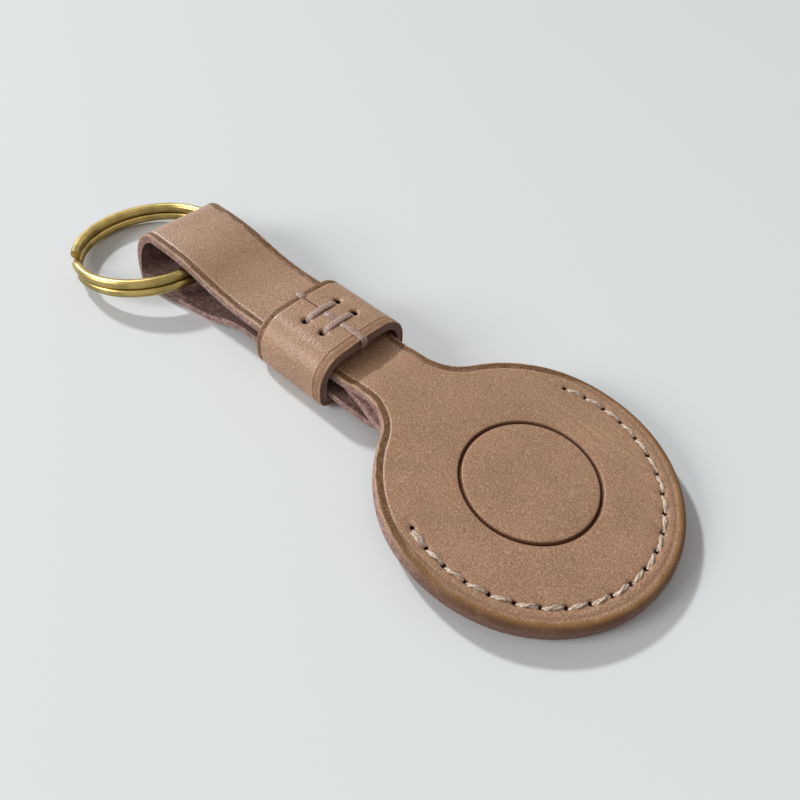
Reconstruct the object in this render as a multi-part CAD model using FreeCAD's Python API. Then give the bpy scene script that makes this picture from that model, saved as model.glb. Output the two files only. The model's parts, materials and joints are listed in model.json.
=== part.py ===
import FreeCAD, Part
import math
import os

# Tracker tag holder of vegetable tanned leather, lying on a table as it is put down.
# A round pocket sewn from two discs runs into a strap. The strap passes through a keeper
# band, folds round a split ring and comes back through the keeper as a loose tail.
# Millimetres, +Z up from the table, +X from the ring to the pocket.

V = FreeCAD.Vector

# Leather and pocket
leather = 1.7
disc_diameter = 50.0
rim_round = 0.9
rim_fade = 0.55
rim_fade_deg = 140.0
lay_gap = 0.07
cut_overrun = 2.0

# Neck and shoulders of the front panel, with lengths measured on from the pocket's rim
neck_width = 14.2
neck_length = 8.0
shoulder_radius = 9.0
bend_from_rim = 3.5
neck_hump = 0.34
neck_bend_radius = 20.0

# Strap, fold and tail
strap_width = 17.0
flare_from_rim = 29.0
strap_clearance = 0.25
fold_height = 10.0
fold_from_rim = 68.0
fold_flat = 4.0
fold_sections = 16
loop_skew = 3.8
drop_run = 11.0
tail_under_rim = 1.5
tail_corner_radius = 5.0

# Tongue of the back panel, which tucks into the keeper between the strap layers
tongue_root_width = 18.0
tongue_width = 12.0
tongue_from_rim = 18.0
tongue_shoulder_radius = 4.0

# Line pressed into the front disc
pressed_ring_diameter = 23.0
pressed_line_width = 0.8
pressed_line_depth = 0.25

# Rim seam, sewn from one end of the mouth round to the other
seam_inset = 3.6
seam_span_deg = 220.0
stitch_count = 22
thread_diameter = 0.75
thread_proud_top = 0.4
thread_proud_under = 0.2
hole_diameter = 0.95
thread_clearance = 0.03

# Keeper band and the lacing that closes it
keeper_length = 17.0
keeper_from_rim = 12.0
keeper_side_room = 0.55
keeper_top_room = 1.1
keeper_outer_radius = 3.5
keeper_inner_radius = 0.6
keeper_travel = 6.0
butt_gap = 0.2
lace_diameter = 0.85
lace_hole_diameter = 1.0
lace_pitch = 4.4
lace_spread = 7.7
lace_tuck = 1.7
lace_joint_share = 1.04

# Split ring of two flat turns with one step between them
wire_diameter = 1.8
turn_gap = 0.45
ring_diameter = 31.8
ring_past_fold = 0.3
ring_side_room = 0.45
ring_lift = 0.05
ring_level_share = 0.53
step_angle_deg = 60.0
step_clear_deg = 6.0
ring_arc_deg = 45.0

# Values worked out from the sizes above
disc_radius = disc_diameter / 2
neck_reach = disc_radius + neck_length
bend_start = disc_radius + bend_from_rim
flare_reach = disc_radius + flare_from_rim
fold_reach = disc_radius + fold_from_rim
tail_reach = disc_radius - tail_under_rim
tongue_reach = disc_radius + tongue_from_rim
keeper_near_end = disc_radius + keeper_from_rim
pocket_thickness = 2 * leather
half = leather / 2
tail_low = leather + strap_clearance
tail_level = tail_low + half
tongue_level = tail_level + leather + lay_gap
strap_level = tongue_level + leather + lay_gap
strap_top = strap_level + half
slope = math.asin((strap_level + neck_hump - leather - half)
                  / (disc_radius - rim_round + bend_start))
pocket_lift = (disc_radius - rim_round) * math.sin(slope) + rim_round * (1 - math.cos(slope))
keeper_inner_top = strap_top + keeper_top_room
keeper_top = keeper_inner_top + leather
keeper_inner_width = strap_width + 2 * keeper_side_room
keeper_width = keeper_inner_width + 2 * leather
keeper_far_end = keeper_near_end + keeper_length
level_end = keeper_far_end + keeper_travel + cut_overrun / 2
fold_radius = (fold_height - leather) / 2
fold_centre = fold_reach - fold_height / 2
fold_level = fold_height - half


def pocket_place(shape):
    """Lean a shape drawn flat on the pocket's underside to the pocket's real slope."""
    moved = shape.copy()
    moved.rotate(V(0, 0, 0), V(0, 1, 0), math.degrees(slope))
    moved.translate(V(0, 0, pocket_lift))
    return moved


def pocket_point(x, z):
    """Side view point of the pocket, from its own plane to the table frame."""
    return (x * math.cos(slope) + z * math.sin(slope),
            pocket_lift - x * math.sin(slope) + z * math.cos(slope))


def ribbon(start, heading, moves, width):
    """Strip of leather seen from the side along lines and arcs, drawn out to a width.

    Each move is a length with no turn, or a radius with a turn to the left in radians.
    Returns the solid with the point and the heading where it ends."""
    x, z = start
    sides = {half: [], -half: []}

    def beside(px, pz, angle, offset):
        return V(px - offset * math.sin(angle), 0, pz + offset * math.cos(angle))

    ends = [(x, z, heading)]
    for size, turn in moves:
        if turn == 0:
            x2 = x + size * math.cos(heading)
            z2 = z + size * math.sin(heading)
            for offset, edges in sides.items():
                edges.append(Part.LineSegment(beside(x, z, heading, offset),
                                              beside(x2, z2, heading, offset)).toShape())
            x, z = x2, z2
        else:
            bend = math.copysign(size, turn)
            cx = x - bend * math.sin(heading)
            cz = z + bend * math.cos(heading)
            spots = []
            for step in range(3):
                angle = heading + turn * step / 2
                spots.append((cx + bend * math.sin(angle), cz - bend * math.cos(angle), angle))
            for offset, edges in sides.items():
                edges.append(Part.Arc(*[beside(*spot, offset) for spot in spots]).toShape())
            x, z, heading = spots[-1]
    ends.append((x, z, heading))
    caps = [Part.LineSegment(beside(*end, half), beside(*end, -half)).toShape() for end in ends]
    outline = Part.Wire(Part.__sortEdges__(sides[half] + sides[-half] + caps))
    solid = Part.Face(outline).extrude(V(0, width, 0))
    solid.translate(V(0, -width / 2, 0))
    return solid, (x, z), heading


def s_curve(run, rise):
    """Two equal arcs that change level by rise over run, level at both ends."""
    radius = (run * run + rise * rise) / (4 * abs(rise))
    turn = 2 * math.atan2(abs(rise), run)
    return radius, math.copysign(turn, rise)


def neck_bend(first_radius, second_radius, drop):
    """Angle below level that takes a strip from the pocket's slope down to the keeper."""
    share = (first_radius * math.cos(slope) + second_radius + drop) / (first_radius + second_radius)
    return math.acos(share)


def prism(edges, low, high):
    """Upright block with the given plan outline."""
    face = Part.Face(Part.Wire(Part.__sortEdges__(edges)))
    face.translate(V(0, 0, low))
    return face.extrude(V(0, 0, high - low))


def line(a, b):
    return Part.LineSegment(V(*a, 0), V(*b, 0)).toShape()


def arc(a, through, b):
    return Part.Arc(V(*a, 0), V(*through, 0), V(*b, 0)).toShape()


def shoulder(half_width, radius):
    """Points of the hollow curve from a straight edge at half_width to the disc's rim."""
    cy = half_width + radius
    cx = -math.sqrt((disc_radius + radius) ** 2 - cy ** 2)
    rim_share = disc_radius / (disc_radius + radius)
    rim = (cx * rim_share, cy * rim_share)
    foot = (cx, half_width)
    mid_angle = (math.atan2(rim[1] - cy, rim[0] - cx) - math.pi / 2) / 2
    middle = (cx + radius * math.cos(mid_angle), cy + radius * math.sin(mid_angle))
    return foot, middle, rim


def mirror(point):
    return (point[0], -point[1])


def rim_and_shoulders(half_width, radius):
    """Edges of the disc's rim and both shoulders, and the two feet of the shoulders."""
    foot, middle, rim = shoulder(half_width, radius)
    edges = [arc(rim, (disc_radius, 0), mirror(rim)),
             arc(foot, middle, rim),
             arc(mirror(foot), mirror(middle), mirror(rim))]
    return edges, foot


def rounded_rim(level, outward):
    """Cutter that rubs the sewn rim round at one level, fading out before the shoulders."""
    reach = disc_radius + rim_fade
    inside = level - outward * rim_round
    outside = level + outward * cut_overrun
    corner_share = math.sqrt(1 / 2)
    arc_middle = (reach - rim_round * (1 - corner_share), inside + outward * rim_round * corner_share)
    corners = [(reach, inside), (reach + cut_overrun, inside), (reach + cut_overrun, outside),
               (reach - rim_round, outside), (reach - rim_round, level)]
    corners = [V(x, 0, z) for x, z in corners]
    sides = [Part.LineSegment(a, b).toShape() for a, b in zip(corners, corners[1:])]
    sides.append(Part.Arc(corners[-1], V(arc_middle[0], 0, arc_middle[1]), corners[0]).toShape())
    profile = Part.Face(Part.Wire(Part.__sortEdges__(sides)))
    profile.rotate(V(0, 0, 0), V(0, 0, 1), -rim_fade_deg)
    cutter = profile.revolve(V(0, 0, 0), V(0, 0, 1), 2 * rim_fade_deg)
    cutter.translate(V(-rim_fade, 0, 0))
    return pocket_place(cutter)


# Front panel, upper layer: disc, neck and strap up over the fold
neck_half = neck_width / 2
strap_half = strap_width / 2
plan_low = -cut_overrun * leather - fold_height
plan_high = fold_height * cut_overrun
edges, foot = rim_and_shoulders(neck_half, shoulder_radius)
outline_ends = [(-neck_reach, neck_half), (-flare_reach, strap_half),
                (-fold_reach - cut_overrun, strap_half)]
points = [foot] + outline_ends
for side in (lambda p: p, mirror):
    edges += [line(side(a), side(b)) for a, b in zip(points, points[1:])]
edges.append(line(points[-1], mirror(points[-1])))
front_plan = pocket_place(prism(edges, plan_low, plan_high))

front_start = pocket_point(disc_radius + cut_overrun, leather + half)
front_bend = pocket_point(-bend_start, leather + half)
dip = neck_bend(neck_bend_radius, neck_bend_radius, strap_level - front_bend[1])
neck_end = front_bend[0] - neck_bend_radius * (math.sin(slope) + 2 * math.sin(dip))
rise_run = fold_centre - fold_flat - level_end
rise_radius, rise_turn = s_curve(rise_run, fold_level - strap_level)
drop_radius, drop_turn = s_curve(drop_run, tail_level - half)
under_run = fold_centre - level_end - drop_run
over_moves = [(disc_radius + cut_overrun + bend_start, 0),
              (neck_bend_radius, slope + dip),
              (neck_bend_radius, -dip),
              (level_end + neck_end, 0),
              (rise_radius, -rise_turn),
              (rise_radius, rise_turn),
              (fold_flat, 0)]
upper, crown, heading = ribbon(front_start, math.pi - slope, over_moves,
                               disc_diameter + 2 * cut_overrun)
upper = upper.common(front_plan).cut(rounded_rim(pocket_thickness, 1))

# Front panel, fold: half a turn in which the strap wanders to one side
sections = []
for index in range(fold_sections + 1):
    turn = math.pi * index / fold_sections
    drift = -loop_skew * (1 - math.cos(turn / 2))
    corners = []
    for radius, side in ((fold_radius - half, -strap_half), (fold_radius + half, -strap_half),
                         (fold_radius + half, strap_half), (fold_radius - half, strap_half)):
        corners.append(V(crown[0] - radius * math.sin(turn), drift + side,
                         half + fold_radius + radius * math.cos(turn)))
    sections.append(Part.makePolygon(corners + corners[:1]))
fold = Part.makeLoft(sections, True, False)

# Front panel, lower layer: back along the table, up through the keeper and on as the tail
tail_moves = [(under_run, 0),
              (drop_radius, drop_turn),
              (drop_radius, -drop_turn),
              (level_end - tail_reach, 0)]
lower, tail_end, heading = ribbon((crown[0], half), 0, tail_moves, strap_width + 2 * loop_skew)
stations = [(crown[0], -loop_skew), (-level_end, 0), (-tail_reach, 0)]
far_side = [(x, y + strap_half) for x, y in stations]
near_side = [(x, y - strap_half) for x, y in reversed(stations)]
corners = far_side + near_side
edges = [line(a, b) for a, b in zip(corners, corners[1:] + corners[:1])]
lower = lower.common(prism(edges, -cut_overrun, fold_height))
tail_corners = [edge for edge in lower.Edges
                if edge.BoundBox.XLength + edge.BoundBox.YLength < lay_gap
                and abs(edge.BoundBox.XMax + tail_reach) < lay_gap]
lower = lower.makeFillet(tail_corner_radius, tail_corners)
front_panel = upper.multiFuse([fold, lower]).removeSplitter()

groove_outer = Part.makeCylinder((pressed_ring_diameter + pressed_line_width) / 2, leather)
groove_inner = Part.makeCylinder((pressed_ring_diameter - pressed_line_width) / 2, leather)
groove = groove_outer.cut(groove_inner)
groove.translate(V(0, 0, pocket_thickness - pressed_line_depth))
front_panel = front_panel.cut(pocket_place(groove))

# Back panel: disc and tongue, lying under the front disc and following its bend
tongue_half = tongue_width / 2
root_half = tongue_root_width / 2
edges, foot = rim_and_shoulders(root_half, tongue_shoulder_radius)
tip_start = (-tongue_reach + tongue_half, tongue_half)
points = [foot, tip_start]
for side in (lambda p: p, mirror):
    edges += [line(side(a), side(b)) for a, b in zip(points, points[1:])]
edges.append(arc(tip_start, (-tongue_reach, 0), mirror(tip_start)))
back_plan = pocket_place(prism(edges, plan_low, plan_high))

back_start = pocket_point(disc_radius + cut_overrun, half)
back_bend = pocket_point(-bend_start, half)
inner_radius = neck_bend_radius - leather
outer_radius = neck_bend_radius + leather
back_dip = neck_bend(inner_radius, outer_radius, tongue_level - back_bend[1])
back_moves = [(disc_radius + cut_overrun + bend_start, 0),
              (inner_radius, slope + back_dip),
              (outer_radius, -back_dip),
              (tongue_reach - bend_start, 0)]
back_panel, tongue_end, heading = ribbon(back_start, math.pi - slope, back_moves,
                                         disc_diameter + 2 * cut_overrun)
back_panel = back_panel.common(back_plan).cut(rounded_rim(0, -1))

# Rim stitching: holes through both discs and one waxed thread over and under each stitch
seam_radius = disc_radius - seam_inset
thread_radius = thread_diameter / 2
seam_spots = []
for index in range(stitch_count + 1):
    angle = math.radians(seam_span_deg * (index / stitch_count - 1 / 2))
    seam_spots.append(V(seam_radius * math.cos(angle), seam_radius * math.sin(angle), 0))

holes = []
for spot in seam_spots:
    hole = Part.makeCylinder(hole_diameter / 2, pocket_thickness + 2 * cut_overrun)
    hole.translate(spot - V(0, 0, cut_overrun))
    holes.append(pocket_place(hole))
hole_set = Part.makeCompound(holes)
front_panel = front_panel.cut(hole_set)
back_panel = back_panel.cut(hole_set)

under_level = thread_radius - thread_proud_under
over_level = pocket_thickness + thread_proud_top - thread_radius
leg_radius = hole_diameter / 2 - thread_clearance
strands = []
beds = []
for spot in seam_spots:
    leg = Part.makeCylinder(leg_radius, over_level - under_level)
    leg.translate(spot + V(0, 0, under_level))
    strands.append(leg)
for spot, after in zip(seam_spots, seam_spots[1:]):
    for level in (under_level, over_level):
        base = spot + V(0, 0, level)
        way = after - spot
        strands.append(Part.makeCylinder(thread_radius, way.Length, base, way))
        bed = Part.makeCylinder(thread_radius + thread_clearance, way.Length, base, way)
        beds.append(pocket_place(bed))
bed_set = Part.makeCompound(beds)
front_panel = front_panel.cut(bed_set)
back_panel = back_panel.cut(bed_set)
rim_stitching = pocket_place(strands[0].multiFuse(strands[1:]))

# Keeper band: a strip bent round the strap, its two ends butted on top
def rounded_tube(width, low, high, radius):
    """Rounded oblong block along the strap, of the keeper's length."""
    block = Part.makeBox(keeper_length, width, high - low, V(-keeper_far_end, -width / 2, low))
    along = [edge for edge in block.Edges if edge.BoundBox.XLength > keeper_length / 2]
    return block.makeFillet(radius, along)


keeper_band = rounded_tube(keeper_width, 0, keeper_top, keeper_outer_radius)
keeper_band = keeper_band.cut(rounded_tube(keeper_inner_width, leather, keeper_inner_top,
                                           keeper_inner_radius))
butt = Part.makeBox(keeper_length, butt_gap, 2 * leather,
                    V(-keeper_far_end, -butt_gap / 2, keeper_inner_top - half))
keeper_band = keeper_band.cut(butt)

lace_radius = lace_diameter / 2
keeper_middle = -keeper_far_end + keeper_length / 2
rows = [keeper_middle - lace_pitch / 2, keeper_middle + lace_pitch / 2]
lace_side = lace_spread / 2
for row in rows:
    for y in (-lace_side, lace_side):
        hole = Part.makeCylinder(lace_hole_diameter / 2, 2 * leather,
                                 V(row, y, keeper_inner_top - half))
        keeper_band = keeper_band.cut(hole)

# Keeper lacing: one thread over both edges and twice across the butted ends
over = keeper_top + lace_radius + thread_clearance
under = keeper_inner_top - lace_radius - thread_clearance
far_edge = -keeper_far_end - lace_radius - thread_clearance
near_edge = -keeper_near_end + lace_radius + thread_clearance
lace_points = [(-keeper_far_end + lace_tuck, 0, over), (far_edge, 0, over), (far_edge, 0, under),
               (rows[0], -lace_side, under), (rows[0], -lace_side, over),
               (rows[0], lace_side, over), (rows[0], lace_side, under),
               (rows[1], -lace_side, under), (rows[1], -lace_side, over),
               (rows[1], lace_side, over), (rows[1], lace_side, under),
               (near_edge, 0, under), (near_edge, 0, over),
               (rows[1] + lace_tuck, 0, over)]
lace_points = [V(*point) for point in lace_points]
strands = []
for point, after in zip(lace_points, lace_points[1:]):
    strands.append(Part.makeCylinder(lace_radius, (after - point).Length, point, after - point))
for point in lace_points:
    strands.append(Part.makeSphere(lace_radius * lace_joint_share, point))
keeper_lacing = strands[0].multiFuse(strands[1:])

# Split ring: one brass wire in two flat turns, with a step where it changes level
ring_radius = (ring_diameter - wire_diameter) / 2
turn_pitch = wire_diameter + turn_gap
step = math.radians(step_angle_deg)
clear = math.radians(step_clear_deg) + wire_diameter / ring_radius
wire_start = step / 2 + clear
wire_end = 4 * math.pi - wire_start


def wire_spot(angle):
    """Point and direction of the wire, the step lying half way along it."""
    share = min(max((angle - 2 * math.pi) / step + 1 / 2, 0), 1)
    height = turn_pitch * (share * share * (3 - 2 * share) - 1 / 2)
    climb = turn_pitch * 6 * share * (1 - share) / step
    spot = V(-ring_radius * math.cos(angle), -ring_radius * math.sin(angle), height)
    way = V(ring_radius * math.sin(angle), -ring_radius * math.cos(angle), climb)
    return spot, way.normalize()


def biarc(a, way_a, b, way_b):
    """Two arcs that leave a along way_a, arrive at b along way_b and meet smoothly."""
    chord = b - a
    ways = way_a + way_b
    p = 2 * (1 - way_a.dot(way_b))
    q = 2 * chord.dot(ways)
    reach = (-q + math.sqrt(q * q + 4 * p * chord.dot(chord))) / (2 * p)
    knee_a = a + way_a * reach
    knee_b = b - way_b * reach
    joint = (knee_a + knee_b) * (1 / 2)
    result = []
    for first, knee, last in ((a, knee_a, joint), (joint, knee_b, b)):
        middle = (first + last) * (1 / 2)
        tall = (knee - middle).Length
        wide = (last - first).Length / 2
        sag = wide * tall / (wide + math.hypot(tall, wide))
        top = middle + (knee - middle).normalize() * sag
        result.append(Part.Arc(first, top, last).toShape())
    return result


spans = math.ceil((wire_end - wire_start) / math.radians(ring_arc_deg))
angles = [wire_start + (wire_end - wire_start) * index / spans for index in range(spans + 1)]
path = []
for angle, after in zip(angles, angles[1:]):
    path += biarc(*wire_spot(angle), *wire_spot(after))
spot, way = wire_spot(wire_start)
section = Part.Wire(Part.makeCircle(wire_diameter / 2, spot, way))
split_ring = Part.Wire(path).makePipeShell([section], True, False)
ring_low = ring_lift + (wire_diameter + turn_pitch) / 2
ring_height = (ring_low + ring_level_share * fold_height) / 2
ring_tilt = math.asin((ring_height - ring_low) / ring_radius)
fold_edge = strap_half - loop_skew * (1 - math.cos(math.pi / 4))
ring_offset = ring_radius - wire_diameter / 2 - fold_edge - ring_side_room
split_ring.rotate(V(0, 0, 0), V(0, 1, 0), -math.degrees(ring_tilt))
ring_centre = V(-fold_reach - ring_past_fold, -ring_offset, ring_height)
split_ring.translate(ring_centre)

# The origin is under the middle of the whole part
pieces = {
    "front_panel": front_panel,
    "back_panel": back_panel,
    "rim_stitching": rim_stitching,
    "keeper_band": keeper_band,
    "keeper_lacing": keeper_lacing,
    "split_ring": split_ring,
}
box = Part.makeCompound(list(pieces.values())).optimalBoundingBox(True, False)
middle = V((box.XMin + box.XMax) / 2, (box.YMin + box.YMax) / 2, box.ZMin)

os.makedirs("parts", exist_ok=True)
for name, shape in pieces.items():
    shape.translate(-middle)
    shape.exportStep("parts/" + name + ".step")
    print(name, "valid", shape.isValid(), "solids", len(shape.Solids), "faces", len(shape.Faces),
          "volume", round(shape.Volume, 2))

wire_gap = min((wire_spot(a)[0] - wire_spot(a + 2 * math.pi)[0]).Length
               for a in angles if a + 2 * math.pi < wire_end) - wire_diameter
print("least gap between the ring's turns", round(wire_gap, 3))
print("ring centre", [round(v, 4) for v in ring_centre - middle], "tilt", round(math.degrees(ring_tilt), 4))
print("pocket slope", round(math.degrees(slope), 4), "lift", round(pocket_lift, 4))
print("origin moved by", round(-middle.x, 4), round(-middle.y, 4), round(-middle.z, 4))
print("size", round(box.XLength, 3), round(box.YLength, 3), round(box.ZLength, 3))
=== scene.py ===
import bmesh
import bpy
import json
import math
from mathutils import Matrix, Vector, noise


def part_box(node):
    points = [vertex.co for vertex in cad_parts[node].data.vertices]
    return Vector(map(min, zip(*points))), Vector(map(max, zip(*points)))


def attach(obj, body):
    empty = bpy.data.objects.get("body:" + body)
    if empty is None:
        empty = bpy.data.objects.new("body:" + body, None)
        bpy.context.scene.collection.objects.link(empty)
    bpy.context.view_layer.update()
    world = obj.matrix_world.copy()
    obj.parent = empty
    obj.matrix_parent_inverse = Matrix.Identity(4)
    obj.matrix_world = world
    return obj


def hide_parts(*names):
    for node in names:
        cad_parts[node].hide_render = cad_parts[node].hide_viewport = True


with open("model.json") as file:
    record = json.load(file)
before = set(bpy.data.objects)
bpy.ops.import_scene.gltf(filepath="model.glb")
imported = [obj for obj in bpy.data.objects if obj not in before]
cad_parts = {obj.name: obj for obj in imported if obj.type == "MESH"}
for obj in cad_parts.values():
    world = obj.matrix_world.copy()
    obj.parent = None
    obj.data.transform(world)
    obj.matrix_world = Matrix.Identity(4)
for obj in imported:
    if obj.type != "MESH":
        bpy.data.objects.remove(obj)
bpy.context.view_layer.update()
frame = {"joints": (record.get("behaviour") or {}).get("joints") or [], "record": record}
bpy.ops.object.select_all(action="DESELECT")

# Front panel. One piece of vegetable tanned cowhide that is the pocket's front disc, the neck,
# the strap and the tail. It is cut flat, its edges are creased and burnished, a ring is pressed
# into the disc, and the strap is then folded back under itself. Lengths are in millimetres.
mm = 0.001
leather = 1.7
half = leather / 2
disc_radius = 25.0
rim_round = 0.9
neck_half = 7.1
neck_length = 8.0
shoulder_radius = 9.0
bend_from_rim = 3.5
neck_hump = 0.34
neck_bend = 20.0
strap_half = 8.5
flare_from_rim = 29.0
level_from_rim = 36.0
fold_from_rim = 68.0
fold_height = 10.0
fold_flat = 4.0
loop_skew = 3.8
drop_run = 11.0
tail_under_rim = 1.5
tail_corner = 5.0
layer_gap = 0.07
keeper_floor_gap = 0.25

tail_level = leather + keeper_floor_gap + half
tongue_level = tail_level + leather + layer_gap
strap_level = tongue_level + leather + layer_gap
bend_start = disc_radius + bend_from_rim
slope = math.asin((strap_level + neck_hump - leather - half) / (disc_radius - rim_round + bend_start))
pocket_lift = (disc_radius - rim_round) * math.sin(slope) + rim_round * (1 - math.cos(slope))
mounts = {mount["name"]: mount for mount in frame["record"]["mounts"]}
pocket_x = mounts["tag_pocket"]["pos_m"][0] / mm


def on_pocket(x, y, z):
    """Point of the leaning pocket, from its own plane to the frame."""
    return Vector((pocket_x + x * math.cos(slope) + z * math.sin(slope), y,
                   pocket_lift - x * math.sin(slope) + z * math.cos(slope)))


def side_path(length, x, z, heading, moves):
    """Bent strip seen from the side, as runs of (length so far, x, z, heading, size, turn)."""
    runs = []
    for size, turn in moves:
        runs.append((length, x, z, heading, size, turn))
        if turn:
            bend = math.copysign(size, turn)
            x += bend * (math.sin(heading + turn) - math.sin(heading))
            z += bend * (math.cos(heading) - math.cos(heading + turn))
            heading += turn
            length += abs(size * turn)
        else:
            x += size * math.cos(heading)
            z += size * math.sin(heading)
            length += size
    return runs, length


def along(runs, length):
    """Place and heading of a side path at a length along it."""
    start, x, z, heading, size, turn = [run for run in runs if run[0] <= length][-1]
    if not turn:
        reach = length - start
        return x + reach * math.cos(heading), z + reach * math.sin(heading), heading
    bend = math.copysign(size, turn)
    ahead = heading + (length - start) / bend
    return (x + bend * (math.sin(ahead) - math.sin(heading)),
            z + bend * (math.cos(heading) - math.cos(ahead)), ahead)


def s_curve(run, rise):
    """Radius and turn of two equal arcs that change level by rise over run."""
    return (run * run + rise * rise) / (4 * rise), 2 * math.atan2(rise, run)


def dip(first, second, drop):
    """Turn below level that brings the neck from the pocket's slope to the keeper's level."""
    return math.acos((first * math.cos(slope) + second + drop) / (first + second))


# The paths start a little way before the disc's far end, so that its edge lies on them too.
path_lead = 2.0
path_begin = -disc_radius - path_lead
pocket_run = (disc_radius + path_lead + bend_start, 0)
fold_radius = (fold_height - leather) / 2
fold_centre = disc_radius + fold_from_rim - fold_height / 2
level_end = disc_radius + level_from_rim
front_mid = leather + half
start = on_pocket(disc_radius + path_lead, 0, front_mid)
bend_spot = on_pocket(-bend_start, 0, front_mid)
neck_dip = dip(neck_bend, neck_bend, strap_level - bend_spot.z)
neck_end = pocket_x - bend_spot.x + neck_bend * (math.sin(slope) + 2 * math.sin(neck_dip))
rise_radius, rise_turn = s_curve(fold_centre - fold_flat - level_end, fold_height - half - strap_level)
drop_radius, drop_turn = s_curve(drop_run, tail_level - half)
over_moves = [pocket_run, (neck_bend, slope + neck_dip), (neck_bend, -neck_dip), (level_end - neck_end, 0),
              (rise_radius, -rise_turn), (rise_radius, rise_turn), (fold_flat, 0)]
under_moves = [(fold_radius, math.pi), (fold_centre - level_end - drop_run, 0),
               (drop_radius, drop_turn), (drop_radius, -drop_turn),
               (level_end - disc_radius + tail_under_rim, 0)]
crown = side_path(path_begin, start.x, start.z, math.pi - slope, over_moves)[1]
front_path, front_length = side_path(path_begin, start.x, start.z, math.pi - slope,
                                     over_moves + under_moves)


def front_drift(length, x):
    """How far the folded strap wanders sideways, most at the bottom of the fold."""
    turned = (length - crown) / fold_radius
    if turned <= 0:
        return 0.0
    if turned < math.pi:
        return -loop_skew * (1 - math.cos(turned / 2))
    return -loop_skew * max(0.0, (pocket_x - level_end - x) / (fold_centre - level_end))


def front_place(u, y, height):
    """Point of the folded front panel from its flat pattern, height being outwards."""
    x, z, heading = along(front_path, u)
    return Vector((x + height * math.sin(heading), y + front_drift(u, x),
                   z - height * math.cos(heading)))


def arc_points(centre, radius, first, last, pitch):
    """Points round an arc from one angle to another, without the last one."""
    count = max(2, round(abs(last - first) * radius / pitch))
    turns = [first + (last - first) * i / count for i in range(count)]
    return [(centre[0] + radius * math.cos(turn), centre[1] + radius * math.sin(turn)) for turn in turns]


def disc_and_shoulder(half_width, radius, pitch):
    """Rim from the pocket's far end and the hollow shoulder, to where the edge runs straight."""
    across = half_width + radius
    ahead = math.sqrt((disc_radius + radius) ** 2 - across ** 2)
    turn = math.atan2(across, ahead)
    return (arc_points((0, 0), disc_radius, math.pi, turn, pitch)
            + arc_points((ahead, across), radius, turn - math.pi, -math.pi / 2, pitch)
            + [(ahead, half_width)])


def select_faces(piece, test):
    """Select the faces of a piece in edit mode that pass a test, and no others."""
    bpy.ops.mesh.select_all(action="DESELECT")
    shell = bmesh.from_edit_mesh(piece.data)
    for face in shell.faces:
        face.select = test(face)
    bmesh.update_edit_mesh(piece.data)


def slice_across(axis, places):
    """Cut rows into all of the mesh in edit mode, square to an axis."""
    for place in places:
        bpy.ops.mesh.select_all(action="SELECT")
        bpy.ops.mesh.bisect(plane_co=Vector(axis) * place * mm, plane_no=axis)


def inset_rows(piece, widths, edge_distance):
    """Inset the selected face row by row, noting how far each row is from the edge."""
    for width in (0.0,) + widths:
        if width:
            bpy.ops.mesh.inset(thickness=width * mm)
        edge_distance += width
        sheet = bmesh.from_edit_mesh(piece.data)
        layer = sheet.verts.layers.float["edge_distance"]
        for vertex in sheet.verts:
            if vertex.select:
                vertex[layer] = edge_distance
    return edge_distance


def thicken(piece):
    """Give a sheet the leather's thickness inwards, with a cut edge and a flesh side."""
    wall = piece.modifiers.new("thickness", "SOLIDIFY")
    wall.thickness = leather * mm
    wall.offset = -1
    wall.material_offset = 2
    wall.material_offset_rim = 1
    bpy.ops.object.modifier_apply(modifier="thickness")


def set_points(piece, places, noted):
    """Move the points of a piece to their places and keep what its finish reads at each."""
    for vertex, place in zip(piece.data.vertices, places):
        vertex.co = place
    for key in noted[0]:
        layer = piece.data.attributes.new(key, "FLOAT", "POINT")
        layer.data.foreach_set("value", [mark[key] for mark in noted])


def bell(distance, width):
    """1 at no distance, falling softly to 0 past the width."""
    return math.exp(-(distance / width) ** 2)


def flat_bell(distance, width):
    """1 over most of the width, falling quickly to 0 past it."""
    return math.exp(-(distance / width) ** 4)


def rolled(distance, radius):
    """Drop of a surface that rolls over to its edge on a quarter round."""
    return math.sqrt(max(0.0, radius * radius - max(0.0, radius - distance) ** 2)) - radius


edge_rows = (0.1, 0.12, 0.14, 0.16, 0.2, 0.2, 0.16, 0.14, 0.14, 0.14, 0.14, 0.14, 0.16, 0.2, 0.5, 0.4, 0.3,
             0.16, 0.16, 0.16, 0.16, 0.3)
disc_shares = 8
length_cuts = [disc_radius * share / disc_shares for share in range(-6, 7)]
wall_shares = (0.25, 0.5, 0.75)
face_share = 0.1
wall_swell = 0.1
cut_roughness = 0.05
cut_pace = 1.7
sharp_angle = math.radians(60)


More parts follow.
